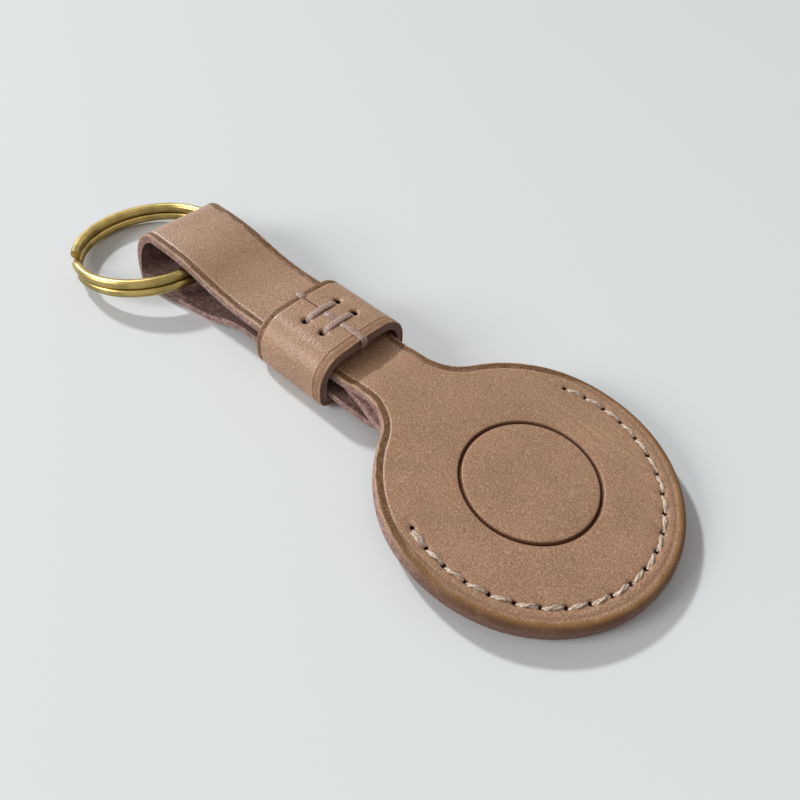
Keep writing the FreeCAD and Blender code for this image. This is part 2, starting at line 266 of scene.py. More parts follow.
def leather_panel(name, outline, press_rows, rows, place, surface, marks, outside):
    """Cut a panel flat, work its rows and its thickness, and fold it to its place.

    surface gives the outer side's height at a spot of the pattern, marks what the finish reads
    there, and outside is 1 where the outer side faces up and -1 where it faces down."""
    bpy.ops.mesh.primitive_circle_add(vertices=len(outline), fill_type="NGON")
    panel = bpy.context.object
    panel.name = name
    for vertex, (u, y) in zip(panel.data.vertices, outline):
        vertex.co = Vector((u, y, 0)) * mm
    panel.data.attributes.new("edge_distance", "FLOAT", "POINT")
    for finish in (grain, cut_edge, flesh):
        panel.data.materials.append(finish)
    bpy.ops.object.mode_set(mode="EDIT")
    bpy.ops.mesh.select_all(action="SELECT")
    field = inset_rows(panel, edge_rows, 0.0)
    if press_rows:
        bpy.ops.mesh.delete(type="ONLY_FACE")
        bpy.ops.mesh.primitive_circle_add(vertices=press_points, radius=press_outer * mm, fill_type="NGON")
        inset_rows(panel, press_rows, disc_radius - press_outer)
        bpy.ops.mesh.select_all(action="DESELECT")
        sheet = bmesh.from_edit_mesh(panel.data)
        layer = sheet.verts.layers.float["edge_distance"]
        for edge in sheet.edges:
            edge.select = edge.is_boundary and edge.verts[0][layer] > field / 2
        bmesh.update_edit_mesh(panel.data)
        bpy.ops.mesh.fill(use_beauty=False)
    slice_across((1, 0, 0), rows)
    slice_across((0, 1, 0), length_cuts)
    bpy.ops.object.mode_set(mode="OBJECT")
    thicken(panel)
    bpy.ops.object.mode_set(mode="EDIT")
    for share in wall_shares:
        select_faces(panel, lambda face: face.material_index == 1)
        bpy.ops.mesh.bisect(plane_co=(0, 0, -leather * share * mm), plane_no=(0, 0, 1))
    bpy.ops.object.mode_set(mode="OBJECT")
    steps = [item.value for item in panel.data.attributes["edge_distance"].data]
    folded = []
    noted = []
    for vertex, step in zip(panel.data.vertices, steps):
        u, y, level = vertex.co / mm
        share = -level / leather
        if face_share < share < 1 - face_share:
            swell = wall_swell * math.sin(math.pi * share)
            swell += cut_roughness * noise.noise(vertex.co / mm * cut_pace)
            u += vertex.normal.x * swell
            y += vertex.normal.y * swell
        height = half + surface(u, y, step) * (1 - share) - leather * share
        folded.append(place(u, y, outside * height) * mm)
        noted.append(marks(u, y, step))
    set_points(panel, folded, noted)
    bpy.ops.object.mode_set(mode="EDIT")
    bpy.ops.mesh.select_all(action="SELECT")
    bpy.ops.mesh.normals_make_consistent(inside=False)
    bpy.ops.object.mode_set(mode="OBJECT")
    bpy.ops.object.shade_smooth_by_angle(angle=sharp_angle)
    bpy.ops.object.select_all(action="DESELECT")
    return panel


def paint(code):
    """Linear colour of an sRGB hex value."""
    parts = [int(code[i:i + 2], 16) / 255 for i in (1, 3, 5)]
    return tuple(p / 12.92 if p <= 0.04045 else ((p + 0.055) / 1.055) ** 2.4 for p in parts) + (1.0,)


def new_finish(name):
    """Start a material, and give it with its node tree and its shader."""
    finish = bpy.data.materials.new(name)
    finish.use_nodes = True
    return finish, finish.node_tree, finish.node_tree.nodes["Principled BSDF"]


# Inputs go by name or by place. A Map Range has its value at 0, the range it comes from at 1 and 2
# and the range it goes to at 3 and 4. A Mix has its share at 0, numbers at 2 and 3 and colours at
# 6 and 7, and gives a mixed colour at output 2.
def add(tree, kind, settings={}, inputs={}, output=0):
    """Add one node with its settings and inputs, each a value or a socket to link, and give its output."""
    node = tree.nodes.new(kind)
    for key, value in settings.items():
        setattr(node, key, value)
    for key, value in inputs.items():
        if isinstance(value, bpy.types.NodeSocket):
            tree.links.new(value, node.inputs[key])
        else:
            node.inputs[key].default_value = value
    return node.outputs[output]


# Vegetable tanned leather, grain side: a soft waxed gleam, faintly clouded, with fine pores that
# speckle it and fine lines where it is stretched. Where a hot creaser and a burnisher have rubbed
# the edges it is dark brown, and a pale painted highlight lies along the crease's shoulder. Pores of
# about 0.15 mm are drawn coarser, so that they show. Ranges of the edge distance are millimetres.
crease_inset = 1.35
rim_crease_inset = 1.9
cloud_size = 7.0
pore_size = 0.26
cell_size = 0.34
wrinkle_size = 0.6
wrinkle_draw = 0.05
hand_size = 2.2
hand_wander = 0.22
cell_relief = 0.07
pore_relief = 0.05
wrinkle_relief = 0.2
smooth = {"interpolation_type": "SMOOTHSTEP"}
colours = {"data_type": "RGBA"}
times = {"operation": "MULTIPLY"}
minus = {"operation": "SUBTRACT"}
grain, tree, shader = new_finish("vegetable_tanned_grain")
spot = add(tree, "ShaderNodeTexCoord", output="Object")
cloud = add(tree, "ShaderNodeTexNoise", {}, {"Vector": spot, "Scale": 1 / (cloud_size * mm), "Detail": 5.0})
pores = add(tree, "ShaderNodeTexNoise", {}, {"Vector": spot, "Scale": 1 / (pore_size * mm), "Detail": 2.0})
cells = add(tree, "ShaderNodeTexVoronoi", {"feature": "SMOOTH_F1"},
            {"Vector": spot, "Scale": 1 / (cell_size * mm), "Smoothness": 0.5})
drawn = add(tree, "ShaderNodeMapping", {}, {"Vector": spot, "Scale": (wrinkle_draw, 1.0, 1.0)})
wrinkles = add(tree, "ShaderNodeTexNoise", {},
               {"Vector": drawn, "Scale": 1 / (wrinkle_size * mm), "Detail": 2.0})
distance = add(tree, "ShaderNodeAttribute", {"attribute_name": "edge_distance"}, output="Fac")
rim = add(tree, "ShaderNodeAttribute", {"attribute_name": "sewn_rim"}, output="Fac")
burnish = add(tree, "ShaderNodeAttribute", {"attribute_name": "burnish"}, output="Fac")
pressed = add(tree, "ShaderNodeAttribute", {"attribute_name": "pressed"}, output="Fac")
hole = add(tree, "ShaderNodeAttribute", {"attribute_name": "hole"}, output="Fac")
stretch = add(tree, "ShaderNodeAttribute", {"attribute_name": "stretch"}, output="Fac")
# The grain's own colour: clouds, bright and dark pores, and pale streaks where it is stretched.
mottle = add(tree, "ShaderNodeMapRange", smooth, {0: cloud, 1: 0.3, 2: 0.7})
bright = add(tree, "ShaderNodeMapRange", smooth, {0: pores, 1: 0.5, 2: 0.68, 4: 0.62})
dark = add(tree, "ShaderNodeMapRange", smooth, {0: pores, 1: 0.3, 2: 0.48, 3: 0.46, 4: 0.0})
streaks = add(tree, "ShaderNodeMapRange", smooth, {0: wrinkles, 1: 0.5, 2: 0.62, 4: stretch})
streaks = add(tree, "ShaderNodeMath", times, {0: streaks, 1: 0.35})
colour = add(tree, "ShaderNodeMix", colours, {0: mottle, 6: paint("#987357"), 7: paint("#a37c5f")}, 2)
colour = add(tree, "ShaderNodeMix", colours, {0: bright, 6: colour, 7: paint("#c8a68a")}, 2)
colour = add(tree, "ShaderNodeMix", colours, {0: dark, 6: colour, 7: paint("#664731")}, 2)
colour = add(tree, "ShaderNodeMix", colours, {0: streaks, 6: colour, 7: paint("#c4a373")}, 2)
# The burnished band along the edges, uneven as a hand rubs it, and golden on the sewn rim.
hand = add(tree, "ShaderNodeTexNoise", {}, {"Vector": spot, "Scale": 1 / (hand_size * mm), "Detail": 3.0})
wander = add(tree, "ShaderNodeMapRange", {}, {0: hand, 1: 0.3, 2: 0.7, 3: -hand_wander, 4: hand_wander})
rubbed_to = add(tree, "ShaderNodeMath", {"operation": "ADD"}, {0: distance, 1: wander})
inside = add(tree, "ShaderNodeMapRange", smooth, {0: rubbed_to, 1: 0.15, 2: 0.5})
edge_band = add(tree, "ShaderNodeMapRange", smooth, {0: rubbed_to, 1: 1.05, 2: 1.4, 3: inside, 4: 0.0})
rim_band = add(tree, "ShaderNodeMapRange", smooth, {0: rubbed_to, 1: 0.7, 2: 1.75, 3: 1.0, 4: 0.0})
band = add(tree, "ShaderNodeMix", {}, {0: rim, 2: edge_band, 3: rim_band})
speckle = add(tree, "ShaderNodeMapRange", smooth, {0: pores, 1: 0.25, 2: 0.62})
rubbed = add(tree, "ShaderNodeMapRange", smooth, {0: cloud, 1: 0.3, 2: 0.6, 3: 0.6, 4: 0.95})
worn = add(tree, "ShaderNodeMix", {}, {0: rim, 2: speckle, 3: rubbed})
worn = add(tree, "ShaderNodeMath", times, {0: worn, 1: burnish})
worn = add(tree, "ShaderNodeMath", times, {0: worn, 1: band})
turned = add(tree, "ShaderNodeMapRange", smooth, {0: distance, 1: 0.3, 2: 0.95})
gold = add(tree, "ShaderNodeMix", colours, {0: turned, 6: paint("#60422f"), 7: paint("#7f582c")}, 2)
brown = add(tree, "ShaderNodeMix", colours, {0: rim, 6: paint("#573818"), 7: gold}, 2)
colour = add(tree, "ShaderNodeMix", colours, {0: worn, 6: colour, 7: brown}, 2)
# The creased line, strong on the strap and soft on the sewn rim, and a painted highlight along its shoulder
# on the strap, none on the rim.
crease = add(tree, "ShaderNodeMix", {}, {0: rim, 2: crease_inset, 3: rim_crease_inset})
past = add(tree, "ShaderNodeMath", minus, {0: distance, 1: crease})
apart = add(tree, "ShaderNodeMath", {"operation": "ABSOLUTE"}, {0: past})
ink = add(tree, "ShaderNodeMix", {}, {0: rim, 2: 0.7, 3: 0.28})
ink_width = add(tree, "ShaderNodeMix", {}, {0: rim, 2: 0.16, 3: 0.45})
line = add(tree, "ShaderNodeMapRange", smooth, {0: apart, 1: 0.03, 2: ink_width, 3: ink, 4: 0.0})
colour = add(tree, "ShaderNodeMix", colours, {0: line, 6: colour, 7: paint("#4f321a")}, 2)
rise = add(tree, "ShaderNodeMapRange", smooth, {0: past, 1: 0.14, 2: 0.27})
painted_highlight = add(tree, "ShaderNodeMapRange", smooth, {0: past, 1: 0.33, 2: 0.46, 3: rise, 4: 0.0})
painted_highlight = add(tree, "ShaderNodeMath", times, {0: painted_highlight, 1: speckle})
highlight_strength = add(tree, "ShaderNodeMix", {}, {0: rim, 2: 0.4, 3: 0.0})
painted_highlight = add(tree, "ShaderNodeMath", times, {0: painted_highlight, 1: highlight_strength})
colour = add(tree, "ShaderNodeMix", colours, {0: painted_highlight, 6: colour, 7: paint("#d3ae8a")}, 2)
# The pressed ring, dark and dull, and painted shade in the holes that thread and lacing go through.
colour = add(tree, "ShaderNodeMix", colours, {0: pressed, 6: colour, 7: paint("#46220f")}, 2)
pit = add(tree, "ShaderNodeMapRange", smooth, {0: hole, 1: 0.1, 2: 0.6})
colour = add(tree, "ShaderNodeMix", colours, {0: pit, 6: colour, 7: paint("#23130b")}, 2)
tree.links.new(colour, shader.inputs["Base Color"])
polish = add(tree, "ShaderNodeMix", {}, {0: band, 2: 0.41, 3: 0.6})
tree.links.new(polish, shader.inputs["Roughness"])
gloss = add(tree, "ShaderNodeMix", {}, {0: band, 2: 0.5, 3: 0.25})
gloss = add(tree, "ShaderNodeMapRange", {}, {0: pressed, 3: gloss, 4: 0.1})
gloss = add(tree, "ShaderNodeMapRange", {}, {0: pit, 3: gloss, 4: 0.0})
tree.links.new(gloss, shader.inputs["Specular IOR Level"])
relief = add(tree, "ShaderNodeBump", {}, {"Strength": 0.6, "Distance": cell_relief * mm, "Height": cells})
relief = add(tree, "ShaderNodeBump", {}, {"Strength": 0.8, "Distance": pore_relief * mm, "Height": pores,
                                          "Normal": relief})
ridges = add(tree, "ShaderNodeMath", times, {0: wrinkles, 1: stretch})
relief = add(tree, "ShaderNodeBump", {}, {"Strength": 1.0, "Distance": wrinkle_relief * mm,
                                          "Height": ridges, "Normal": relief})
tree.links.new(relief, shader.inputs["Normal"])

# Cut edge of the same leather: bare fibres, matt and pinkish, rubbed brown along the sewn rim. The
# fibres are drawn in bundles, because one alone is too fine to show.
fibre_size = 0.6
fibre_relief = 0.12
cut_edge, tree, shader = new_finish("leather_cut_edge")
shader.inputs["Roughness"].default_value = 0.8
spot = add(tree, "ShaderNodeTexCoord", output="Object")
fibres = add(tree, "ShaderNodeTexNoise", {}, {"Vector": spot, "Scale": 1 / (fibre_size * mm), "Detail": 5.0,
                                              "Roughness": 0.7})
rim = add(tree, "ShaderNodeAttribute", {"attribute_name": "sewn_rim"}, output="Fac")
pale = add(tree, "ShaderNodeMapRange", smooth, {0: fibres, 1: 0.35, 2: 0.68})
colour = add(tree, "ShaderNodeMix", colours, {0: pale, 6: paint("#70504a"), 7: paint("#b29288")}, 2)
rubbed = add(tree, "ShaderNodeMath", times, {0: rim, 1: 0.8})
colour = add(tree, "ShaderNodeMix", colours, {0: rubbed, 6: colour, 7: paint("#64473a")}, 2)
tree.links.new(colour, shader.inputs["Base Color"])
nap = add(tree, "ShaderNodeBump", {}, {"Strength": 0.7, "Distance": fibre_relief * mm, "Height": fibres})
tree.links.new(nap, shader.inputs["Normal"])

# Flesh side of the same leather: a short dull nap, darker and mauve, with pale loose fibres, drawn
# as tufts for the same reason.
tuft_size = 0.8
tuft_relief = 0.2
flesh, tree, shader = new_finish("leather_flesh_side")
shader.inputs["Roughness"].default_value = 0.95
spot = add(tree, "ShaderNodeTexCoord", output="Object")
tufts = add(tree, "ShaderNodeTexNoise", {}, {"Vector": spot, "Scale": 1 / (tuft_size * mm), "Detail": 6.0,
                                             "Roughness": 0.75})
nap = add(tree, "ShaderNodeMapRange", smooth, {0: tufts, 1: 0.3, 2: 0.6})
loose = add(tree, "ShaderNodeMapRange", smooth, {0: tufts, 1: 0.56, 2: 0.7, 4: 0.65})
colour = add(tree, "ShaderNodeMix", colours, {0: nap, 6: paint("#452f2b"), 7: paint("#84675e")}, 2)
colour = add(tree, "ShaderNodeMix", colours, {0: loose, 6: colour, 7: paint("#b89f96")}, 2)
tree.links.new(colour, shader.inputs["Base Color"])
nap = add(tree, "ShaderNodeBump", {}, {"Strength": 0.9, "Distance": tuft_relief * mm, "Height": tufts})
tree.links.new(nap, shader.inputs["Normal"])

sewn_end = math.radians(114.0)
sewn_fade = math.radians(24.0)
seam_inset = 3.6
seam_turn = math.radians(110.0)
stitch_count = 22
seam_holes = [seam_turn * (2 * i / stitch_count - 1) for i in range(stitch_count + 1)]
groove_depth = 0.16
groove_width = 0.5
hole_depth = 0.45
hole_width = 0.42
# Painted shade darkens each seam hole over this width, within this reach of the seam line.
hole_shade_width = 0.4
hole_shade_reach = 1.5
press_radius = 11.45
press_field = 1.5
press_outer = press_radius + press_field
press_points = 180
press_rows = (0.5, 0.3, 0.2, 0.12, 0.12, 0.13, 0.13, 0.13, 0.13, 0.12, 0.12, 0.2, 0.3, 0.5)
press_half_width = 0.3
press_depth = 0.4
press_stain = 0.34
press_pull = 0.18
press_pull_width = 1.0
crease_depth = 0.14
crease_width = 0.15
rim_crease_depth = 0.1
rim_crease_width = 0.35
rim_edge_round = 0.95
strap_edge_round = 0.35
wave_height = 0.08
wave_pace = 0.11
wave_layer = 0.4
wave_inset = 3.0
stretch_u = -3.0
stretch_y = 16.0
stretch_length = 10.0
stretch_width = 3.0


def sewn(u, y):
    """1 on the sewn rim, where both layers are sanded and rubbed round together, 0 elsewhere."""
    turn = abs(math.atan2(y, -u))
    return min(1.0, max(0.0, (sewn_end - turn) / sewn_fade))


def nearest_hole(u, y):
    """Distance to the nearest hole of the seam."""
    turn = math.atan2(y, -u)
    hole = min(seam_holes, key=lambda place: abs(place - turn))
    reach = disc_radius - seam_inset
    return math.dist((u, y), (-reach * math.cos(hole), reach * math.sin(hole)))


def seam_dip(u, y, step):
    """How far the thread pulls the leather in, along the seam and at its holes."""
    groove = groove_depth * bell(step - seam_inset, groove_width)
    return groove + hole_depth * bell(nearest_hole(u, y), hole_width)


def front_surface(u, y, step):
    """Height of the worked grain side over the flat leather."""
    rub = sewn(u, y)
    drop = rub * rolled(step, rim_edge_round) + (1 - rub) * rolled(step, strap_edge_round)
    drop -= rub * rim_crease_depth * bell(step - rim_crease_inset, rim_crease_width)
    drop -= (1 - rub) * crease_depth * bell(step - crease_inset, crease_width)
    reach = math.hypot(u, y)
    if reach < disc_radius:
        drop -= press_depth * flat_bell(reach - press_radius, press_half_width)
        drop -= press_pull * math.exp(-abs(reach - press_radius) / press_pull_width)
        if rub > 0:
            drop -= seam_dip(u, y, step)
    wave = wave_height * noise.noise(Vector((u * wave_pace, y * wave_pace, wave_layer)))
    wave *= min(1.0, step / wave_inset)
    return drop + (wave if u < crown else min(0.0, wave))


def front_marks(u, y, step):
    """What the leather's finish reads at a spot of the pattern."""
    on_disc = u < disc_radius
    in_seam = on_disc and abs(step - seam_inset) < hole_shade_reach
    return {"sewn_rim": sewn(u, y),
            "pressed": flat_bell(math.hypot(u, y) - press_radius, press_stain) if on_disc else 0.0,
            "hole": bell(nearest_hole(u, y), hole_shade_width) if in_seam else 0.0,
            "stretch": bell(y - stretch_y, stretch_width) * bell(u - stretch_u, stretch_length),
            "burnish": 1.0}


def even_rows(first, last, pitch):
    """Places from first on, one pitch apart, short of last."""
    return [first + pitch * i for i in range(int((last - first) / pitch))]


rim_pitch = 0.5
row_pitch = 0.8
fold_pitch = 0.4
front_disc_pitch = 2
disc_rows_end = 24
fold_end = crown + math.pi * fold_radius
tail_centre = (front_length - tail_corner, strap_half - tail_corner)
side = disc_and_shoulder(neck_half, shoulder_radius, rim_pitch)
side += [(disc_radius + neck_length, neck_half), (disc_radius + flare_from_rim, strap_half)]
side += arc_points(tail_centre, tail_corner, math.pi / 2, 0, rim_pitch)
side.append((front_length, strap_half - tail_corner))
outline = [(u, -y) for u, y in side] + [(u, y) for u, y in reversed(side[1:])]
rows = list(range(-disc_rows_end, disc_rows_end, front_disc_pitch))
rows += even_rows(disc_rows_end, crown, row_pitch)
rows += even_rows(crown, fold_end, fold_pitch)
rows += even_rows(fold_end, front_length, row_pitch)
front_panel = leather_panel("front_panel_leather", outline, press_rows, rows, front_place,
                            front_surface, front_marks, 1)
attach(front_panel, "holder")
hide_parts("front_panel")

# Back panel. The same leather, a disc with a tapering tongue, grain side out. It lies under the
# front disc, is sewn to it round the rim, and its tongue tucks between the strap's two layers.
tongue_root_half = 9.0
tongue_half = 6.0
tongue_from_rim = 18.0
tongue_shoulder = 4.0
back_disc_pitch = 3
back_start = on_pocket(disc_radius + path_lead, 0, half)
back_bend = on_pocket(-bend_start, 0, half)
inner_bend = neck_bend - leather
outer_bend = neck_bend + leather
back_dip = dip(inner_bend, outer_bend, tongue_level - back_bend.z)
back_moves = [pocket_run, (inner_bend, slope + back_dip), (outer_bend, -back_dip), (tongue_from_rim, 0)]
back_path = side_path(path_begin, back_start.x, back_start.z, math.pi - slope, back_moves)[0]


def back_place(u, y, height):
    """Point of the back panel from its flat pattern, height being upwards."""
    x, z, heading = along(back_path, u)
    return Vector((x + height * math.sin(heading), y, z - height * math.cos(heading)))


def back_surface(u, y, step):
    """Height of the back's grain side over the flat leather."""
    rub = sewn(u, y)
    drop = rub * rolled(step, rim_round) + (1 - rub) * rolled(step, strap_edge_round / 2)
    if rub > 0:
        drop -= seam_dip(u, y, step)
    return drop


def back_marks(u, y, step):
    """The same as on the front, without the pressed ring."""
    return {**front_marks(u, y, step), "pressed": 0.0}


tongue_end = disc_radius + tongue_from_rim
side = disc_and_shoulder(tongue_root_half, tongue_shoulder, rim_pitch)
side += arc_points((tongue_end - tongue_half, 0), tongue_half, math.pi / 2, 0, rim_pitch)
outline = [(u, -y) for u, y in side] + [(tongue_end, 0.0)] + [(u, y) for u, y in reversed(side[1:])]
rows = list(range(-disc_rows_end, disc_rows_end, back_disc_pitch))
rows += even_rows(disc_rows_end, tongue_end, row_pitch)
back_panel = leather_panel("back_panel_leather", outline, (), rows, back_place, back_surface, back_marks, -1)
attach(back_panel, "holder")
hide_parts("back_panel")

# Rim stitching. One waxed two ply thread, sewn as a saddle stitch through both discs from one end
# of the mouth to the other. Each stitch is pulled down into the leather, dips into its holes and
# leans a little, and the first one is sewn twice to lock the thread.
ply_radius = 0.21
ply_offset = 0.16
ply_flatness = 0.6
stitch_lean = 0.22
stitch_rise = 0.26
far_sink = 0.1
far_turn = 1.2
under_rise = 0.04
rise_change = 0.2
rise_pace = 2.3
hole_share = 0.08
stitch_depth = 0.6
stitch_fullness = 0.85
stitch_turns = 0.8
stitch_steps = 15
lock_offset = 0.4
seam_reach = disc_radius - seam_inset


def new_cord(name):
    """Start a thread or wire as a curve with closed ends."""
    cord = bpy.data.curves.new(name, "CURVE")
    cord.dimensions = "3D"
    cord.use_fill_caps = True
    return cord


def lay(cord, kind, places):
    """Lay one run of a cord through a row of points."""
    spline = cord.splines.new(kind)
    spline.points.add(len(places) - 1)
    for point, place in zip(spline.points, places):
        point.co = (*(Vector(place) * mm), 1.0)
    spline.use_endpoint_u = True
    return spline


def piece_of(cord):
    """Turn a cord into a mesh of the same name and leave it selected."""
    piece = bpy.data.objects.new(cord.name, cord)
    bpy.context.collection.objects.link(piece)
    piece.select_set(True)
    bpy.context.view_layer.objects.active = piece
    bpy.ops.object.convert(target="MESH")
    return bpy.context.object


def stitch(first, last, offset, face_level, outwards, rise, twist_start):
    """Points of one ply of a stitch, from hole to hole."""
    places = []
    for step in range(stitch_steps + 1):
        share = step / stitch_steps
        turn = first + (last - first) * (hole_share + (1 - 2 * hole_share) * share)
        twist = twist_start + 2 * math.pi * stitch_turns * share
        fullness = math.sin(math.pi * share) ** stitch_fullness
        level = (stitch_depth + rise - ply_radius) * fullness - stitch_depth
        reach = seam_reach + stitch_lean * (1 - 2 * share) * outwards + offset
        reach += ply_offset * math.cos(twist)
        lift = outwards * level + ply_flatness * ply_offset * math.sin(twist)
        places.append(on_pocket(reach * math.cos(turn), reach * math.sin(turn), face_level + lift))
    return places


thread = new_cord("rim_stitching_thread")
thread.bevel_depth = ply_radius * mm
thread.bevel_resolution = 2
stitches = [(first, last, 0.0) for first, last in zip(seam_holes, seam_holes[1:])]
stitches.append((seam_holes[0], seam_holes[1], lock_offset))
for face_level, outwards in ((2 * leather, 1), (0.0, -1)):
    for number, (first, last, offset) in enumerate(stitches):
        rise = stitch_rise - far_sink * bell(first, far_turn) if outwards > 0 else under_rise
        rise *= 1 + rise_change * math.sin(number * rise_pace)
        for ply in (0, math.pi):
            places = stitch(first, last, offset, face_level, outwards, rise, ply + number)
            spline = lay(thread, "NURBS", places)
            spline.order_u = 4
            spline.resolution_u = 2
stitching = piece_of(thread)
bpy.ops.object.shade_smooth()
bpy.ops.object.select_all(action="DESELECT")


def waxed_linen(name, dull, pale, fibre_size, fibre_relief):
    """Finish of a waxed thread, from its two colours and its fibres."""
    finish, tree, shader = new_finish(name)
    shader.inputs["Roughness"].default_value = 0.5
    spot = add(tree, "ShaderNodeTexCoord", output="Object")
    fibres = add(tree, "ShaderNodeTexNoise", {},
                 {"Vector": spot, "Scale": 1 / (fibre_size * mm), "Detail": 4.0})
    waxed = add(tree, "ShaderNodeMapRange", smooth, {0: fibres, 1: 0.3, 2: 0.65})
    colour = add(tree, "ShaderNodeMix", colours, {0: waxed, 6: paint(dull), 7: paint(pale)}, 2)
    tree.links.new(colour, shader.inputs["Base Color"])
    relief = add(tree, "ShaderNodeBump", {}, {"Strength": 0.4, "Distance": fibre_relief * mm,
                                              "Height": fibres})
    tree.links.new(relief, shader.inputs["Normal"])
    return finish


# Waxed linen thread: off white, half matt, with fibres along the plies that are drawn coarser than
# they are, so that they show.
linen = waxed_linen("waxed_linen_thread", "#9c8775", "#d3c3b3", fibre_size=0.35, fibre_relief=0.05)
stitching.data.materials.append(linen)
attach(stitching, "holder")
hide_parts("rim_stitching")

# Keeper band. A strip of the same leather, creased along both edges, bent round the strap while
# damp and butted end to end on top, where four punched holes take its lacing.
keeper_low, keeper_high = (Vector(corner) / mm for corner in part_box("keeper_band"))
keeper_size = keeper_high - keeper_low
keeper_middle = (keeper_high + keeper_low) / 2
keeper_round = 5.1
keeper_foot_round = 2.9
keeper_round_steps = 14
keeper_crown = 0.9
keeper_edge_round = 0.45
keeper_crease_depth = 0.13
keeper_crease_width = 0.14
near_crease_share = 0.72
near_burnish = 0.4
edge_line_inset = 0.4
edge_line_depth = 0.08
edge_line_width = 0.1
keeper_wave = 0.06
keeper_wave_pace = 0.16
butt_half = 0.08
butt_round = 0.6
butt_round_share = 0.2
lace_pitch = 4.4
lace_half = 3.85
lace_pull = 0.12
lace_pull_width = 1.3
punch_radius = 0.66
punch_depth = 1.1
cut_margin = 0.05
nearly = 0.01
square_on = 0.9
keeper_shares = 14
side_shares = 10
end_rows = (0.12, 0.25, 0.4, 0.55, 0.7, 0.85, 1.0, 1.15, 1.3, 1.45, 1.6, 1.75, 1.9, 2.05, 2.2, 2.5)
hole_rows = (-1.2, -0.85, -0.65, -0.5, -0.35, -0.2, 0.0, 0.2, 0.35, 0.5, 0.65, 0.85, 1.2)
top_rows = (butt_half, 0.3, 0.6, 1.1, 1.8, 5.8)
lace_rows = [keeper_middle.x + side * lace_pitch / 2 for side in (-1, 1)]
lace_holes = [(row, place) for row in lace_rows for place in (-lace_half, lace_half)]
bpy.ops.mesh.primitive_cube_add(size=mm, location=keeper_middle * mm)
keeper = bpy.context.object
keeper.name = "keeper_band_leather"
keeper.scale = keeper_size
bpy.ops.object.transform_apply(location=True, rotation=True, scale=True)
for finish in (grain, cut_edge, flesh):
    keeper.data.materials.append(finish)
bpy.ops.object.mode_set(mode="EDIT")
select_faces(keeper, lambda face: abs(face.normal.x) > square_on)
bpy.ops.mesh.delete(type="FACE")
for level, radius in ((keeper_high.z, keeper_round), (keeper_low.z, keeper_foot_round)):
    bpy.ops.mesh.select_all(action="DESELECT")
    shell = bmesh.from_edit_mesh(keeper.data)
    for edge in shell.edges:
        first, last = (vertex.co / mm for vertex in edge.verts)
        at_side = abs(abs(first.y) - keeper_size.y / 2) < nearly
        at_corner = at_side and abs(first.z - level) < nearly
        if at_corner and abs(first.x - last.x) > keeper_size.x / 2:
            edge.select = True
    bmesh.update_edit_mesh(keeper.data)
    bpy.ops.mesh.bevel(offset=radius * mm, segments=keeper_round_steps, affect="EDGES")
slice_across((1, 0, 0), [keeper_low.x + row for row in end_rows])
slice_across((1, 0, 0), [keeper_high.x - row for row in end_rows])
slice_across((1, 0, 0), [place + row for place in lace_rows for row in hole_rows])
slice_across((1, 0, 0), [keeper_low.x + keeper_size.x * share / keeper_shares for share in range(3, 12)])
slice_across((0, 1, 0), [side * lace_half + row for side in (-1, 1) for row in hole_rows])
slice_across((0, 1, 0), [side * row for side in (-1, 1) for row in top_rows])
slice_across((0, 0, 1), [keeper_low.z + keeper_size.z * share / side_shares for share in range(4, 7)])
select_faces(keeper, lambda face: abs(face.calc_center_median().y) < butt_half * mm
             and face.calc_center_median().z > keeper_middle.z * mm)
bpy.ops.mesh.delete(type="FACE")
bpy.ops.object.mode_set(mode="OBJECT")
thicken(keeper)
outer = {index for face in keeper.data.polygons if face.material_index == 0 for index in face.vertices}
shaped = []
noted = []
for vertex in keeper.data.vertices:
    place = vertex.co / mm
    on_top = place.z > keeper_middle.z
    is_outer = vertex.index in outer
    from_far = place.x - keeper_low.x
    from_near = keeper_high.x - place.x
    distance = min(from_far, from_near * near_crease_share)
    to_holes = [math.dist(place.xy, hole) for hole in lace_holes]
    # pit both sinks the punched holes and marks them for painted shade.
    pit = max(flat_bell(reach, punch_radius) for reach in to_holes) if on_top else 0.0
    drop = 0.0
    if is_outer:
        drop = rolled(min(from_far, from_near), keeper_edge_round)
        drop -= keeper_crease_depth * bell(distance - crease_inset, keeper_crease_width)
        drop -= edge_line_depth * bell(distance - edge_line_inset, edge_line_width) + punch_depth * pit
        wave = keeper_wave * noise.noise(place * keeper_wave_pace)
        drop += wave if on_top else min(0.0, wave)
        if on_top:
            drop += butt_round_share * rolled(abs(place.y), butt_round)
            drop -= lace_pull * max(bell(reach, lace_pull_width) for reach in to_holes)
    bow = keeper_crown * (1 - (2 * place.y / keeper_size.y) ** 2) if on_top else 0.0
    shaped.append(vertex.co + (vertex.normal * drop + Vector((0, 0, bow))) * mm)
    bent = bell(place.y - keeper_size.y / 2 + keeper_round / 2, keeper_round / 2) if on_top else 0.0
    noted.append({"edge_distance": distance, "hole": pit, "pressed": 0.0, "stretch": bent,
                  "sewn_rim": 0.0 if is_outer and distance > cut_margin else 1.0,
                  "burnish": 1.0 if from_far < from_near else near_burnish})
set_points(keeper, shaped, noted)
bpy.ops.object.shade_smooth_by_angle(angle=sharp_angle)
bpy.ops.object.select_all(action="DESELECT")
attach(keeper, "keeper")
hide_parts("keeper_band")

